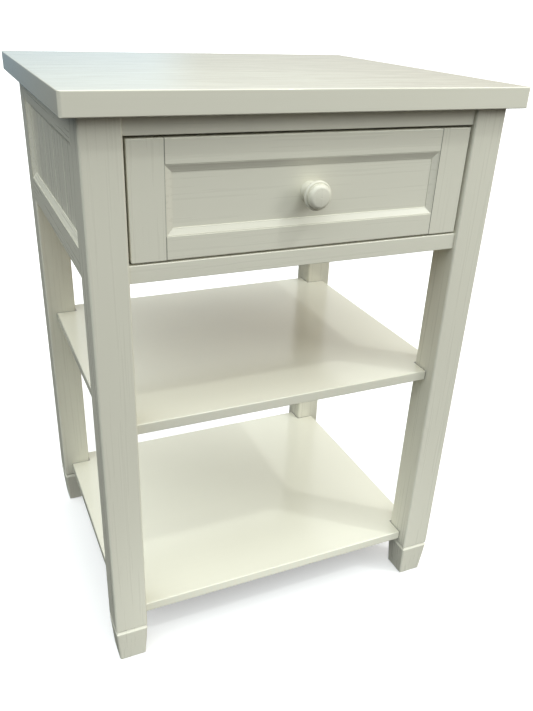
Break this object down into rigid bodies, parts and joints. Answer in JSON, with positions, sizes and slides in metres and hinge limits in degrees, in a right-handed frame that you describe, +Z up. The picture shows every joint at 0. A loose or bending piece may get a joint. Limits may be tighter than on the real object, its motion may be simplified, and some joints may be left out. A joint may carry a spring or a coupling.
{
  "type": "side table with drawer",
  "caption": "Square-legged painted side table with a framed drawer under an overhanging top and open shelves below.",
  "frame": {"origin": "on the floor, under the centre of the whole table's bounding box, knob included", "axes": "+Z up, +X to the right seen from the front, the drawer faces -Y"},
  "size_m": [0.5, 0.43, 0.692],
  "materials": {
    "cream_paint": "satin cream paint over wood",
    "bare_pine": "planed unfinished pine",
    "bare_plywood": "sanded unfinished plywood",
    "beech_dowel": "turned unfinished beech",
    "zinc_screw": "bright zinc plate"
  },
  "bodies": {
    "carcass": {"table_top": "cream_paint", "front_left_leg": "cream_paint", "front_right_leg": "cream_paint", "rear_left_leg": "cream_paint", "rear_right_leg": "cream_paint", "front_left_foot": "cream_paint", "front_right_foot": "cream_paint", "rear_left_foot": "cream_paint", "rear_right_foot": "cream_paint", "foot_dowels": "beech_dowel", "front_top_rail": "cream_paint", "front_bottom_rail": "cream_paint", "rear_top_rail": "cream_paint", "rear_bottom_rail": "cream_paint", "left_top_rail": "cream_paint", "right_top_rail": "cream_paint", "left_bottom_rail": "cream_paint", "right_bottom_rail": "cream_paint", "left_side_panel": "cream_paint", "right_side_panel": "cream_paint", "back_panel": "cream_paint", "left_moulding": "cream_paint", "right_moulding": "cream_paint", "middle_shelf": "cream_paint", "lower_shelf": "cream_paint", "shelf_dowels": "beech_dowel", "left_runner": "bare_pine", "right_runner": "bare_pine", "left_guide": "bare_pine", "right_guide": "bare_pine", "left_kicker": "bare_pine", "right_kicker": "bare_pine", "drawer_stops": "bare_pine", "runner_screws": "zinc_screw", "top_screws": "zinc_screw"},
    "drawer": {"drawer_left_stile": "cream_paint", "drawer_right_stile": "cream_paint", "drawer_top_rail": "cream_paint", "drawer_bottom_rail": "cream_paint", "drawer_panel": "cream_paint", "drawer_moulding": "cream_paint", "drawer_inner_front": "bare_pine", "drawer_left_side": "bare_pine", "drawer_right_side": "bare_pine", "drawer_back": "bare_pine", "drawer_bottom": "bare_plywood", "drawer_knob": "cream_paint", "knob_screw": "zinc_screw", "drawer_front_screws": "zinc_screw", "drawer_bottom_screws": "zinc_screw"}
  },
  "joints": [
    {"name": "drawer_slide", "type": "slide", "parent": "carcass", "child": "drawer", "axis": [0, -1, 0], "range_m": [0, 0.24]}
  ]
}
